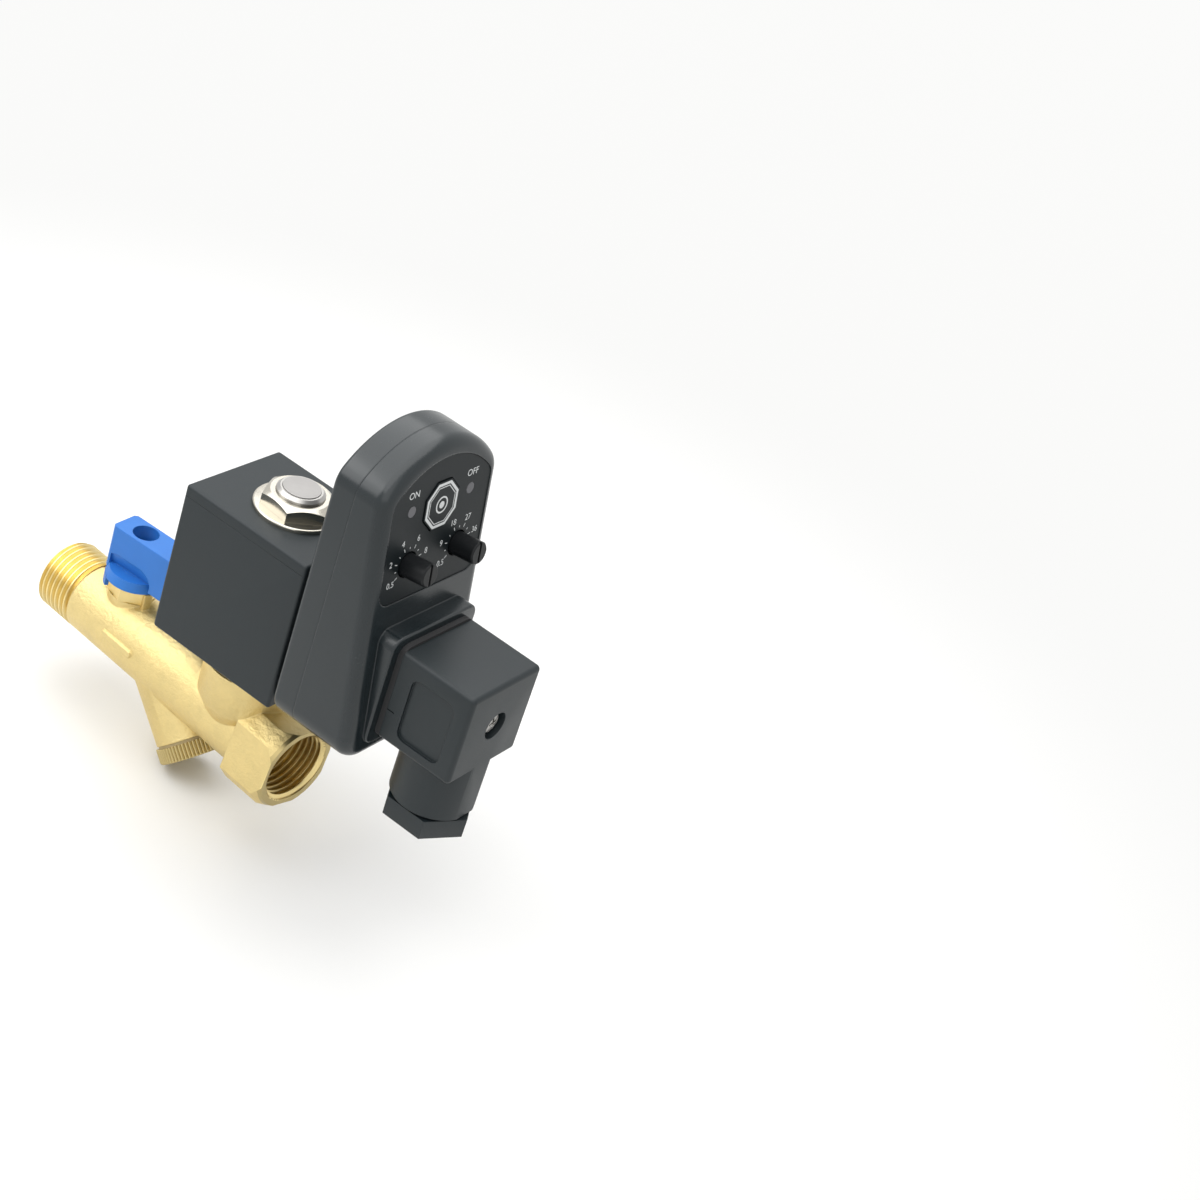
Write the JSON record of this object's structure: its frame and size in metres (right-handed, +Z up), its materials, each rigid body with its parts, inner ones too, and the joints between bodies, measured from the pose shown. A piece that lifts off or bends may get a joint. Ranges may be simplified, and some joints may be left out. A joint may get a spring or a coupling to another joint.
{
  "type": "automatic drain valve",
  "caption": "Timer-controlled drain valve for compressed air: brass body with ball valve and strainer, solenoid coil, plug-on electronic timer and cable plug.",
  "frame": {"origin": "centre of the inlet's end face, on the pipe's axis", "axes": "+X along the pipe with the flow, from the inlet to the outlet; +Z up along the coil's axis; +Y to the left of the flow"},
  "size_m": [0.1482, 0.0471, 0.1378],
  "materials": {
    "cast_brass": "sandy cast brass with machined ends",
    "machined_brass": "turned brass",
    "blue_plastic": "satin blue moulding",
    "coil_plastic": "matt slate-black moulding",
    "timer_plastic": "fine-textured slate-black moulding",
    "plug_plastic": "fine-textured slate-black moulding",
    "panel_print": "matt printed plate",
    "black_knob": "semi-matt black",
    "nickel": "bright nickel plate",
    "bright_steel": "turned stainless steel",
    "soft_iron": "ground, matt grey",
    "chrome_ball": "polished chrome plate",
    "black_rubber": "matt black rubber",
    "seal_rubber": "fluorocarbon seal",
    "white_seal": "white low-friction plastic",
    "copper": "bare copper",
    "winding_copper": "enamelled copper wire",
    "tinned_brass": "tinned blades",
    "nylon": "glass-filled nylon",
    "board_green": "solder mask",
    "component_blue": "moulded component",
    "light_pipe": "smoky translucent light pipe"
  },
  "bodies": {
    "body": {"valve_body": "cast_brass", "ball_retainer": "machined_brass", "ball_seats": "white_seal", "stem_packing": "white_seal", "stem_gland_nut": "machined_brass", "core_tube": "bright_steel", "tube_o_ring": "seal_rubber", "fixed_core": "soft_iron", "shading_ring": "copper", "coil_washer": "nickel", "coil_nut": "nickel", "plunger_spring": "bright_steel"},
    "lever_set": {"lever": "blue_plastic", "lever_screw": "nickel", "valve_stem": "machined_brass", "valve_ball": "chrome_ball"},
    "plunger_set": {"plunger": "bright_steel", "plunger_seal": "seal_rubber"},
    "strainer": {"strainer_cap": "machined_brass", "strainer_gasket": "black_rubber", "strainer_screen": "bright_steel"},
    "coil_head": {"coil_housing": "coil_plastic", "coil_bobbin": "nylon", "coil_winding": "winding_copper", "coil_yoke": "soft_iron", "coil_terminals": "tinned_brass", "timer_gasket": "black_rubber", "timer_rear_cover": "timer_plastic", "timer_front_cover": "timer_plastic", "timer_panel": "panel_print", "timer_circuit_board": "board_green", "timer_contact_block": "nylon", "timer_blades": "tinned_brass", "potentiometers": "component_blue", "test_switch": "nylon", "on_led": "light_pipe", "off_led": "light_pipe"},
    "button": {"test_button": "panel_print"},
    "on_knob": {"on_time_knob": "black_knob"},
    "off_knob": {"off_time_knob": "black_knob"},
    "plug": {"plug_gasket": "black_rubber", "plug_housing": "plug_plastic", "plug_terminal_block": "nylon", "plug_contacts": "tinned_brass", "plug_screw": "bright_steel", "gland_nut": "plug_plastic", "gland_washer": "nylon", "gland_grommet": "black_rubber"}
  },
  "joints": [
    {"name": "lever_turn", "type": "hinge", "parent": "body", "child": "lever_set", "pos_m": [0.0257, 0, 0], "axis": [0, 0, 1], "range_deg": [-8, 82]},
    {"name": "plunger_lift", "type": "slide", "parent": "body", "child": "plunger_set", "axis": [0, 0, 1], "range_m": [0, 0.0025], "stiffness_N_per_m": 300, "springref_m": -0.004, "deforming": ["plunger_spring"]},
    {"name": "strainer_cap_pull", "type": "slide", "parent": "body", "child": "strainer", "axis": [0.7071, 0, -0.7071], "range_m": [0, 0.026]},
    {"name": "coil_swivel", "type": "hinge", "parent": "body", "child": "coil_head", "pos_m": [0.0737, 0, 0.0458], "axis": [0, 0, 1], "range_deg": [-15, 4.5]},
    {"name": "test_press", "type": "slide", "parent": "coil_head", "child": "button", "axis": [-0.9867, -0.0898, -0.1357], "range_m": [0, 0.0006], "stiffness_N_per_m": 600, "springref_m": -0.0006},
    {"name": "on_knob_turn", "type": "hinge", "parent": "coil_head", "child": "on_knob", "pos_m": [0.11636, -0.00596, 0.0804], "axis": [0.9867, 0.0898, 0.1357], "range_deg": [-135, 135]},
    {"name": "off_knob_turn", "type": "hinge", "parent": "coil_head", "child": "off_knob", "pos_m": [0.11459, 0.01356, 0.0804], "axis": [0.9867, 0.0898, 0.1357], "range_deg": [-135, 135]},
    {"name": "plug_pull", "type": "slide", "parent": "coil_head", "child": "plug", "axis": [0.9959, 0.0906, 0], "range_m": [0, 0.02]}
  ]
}
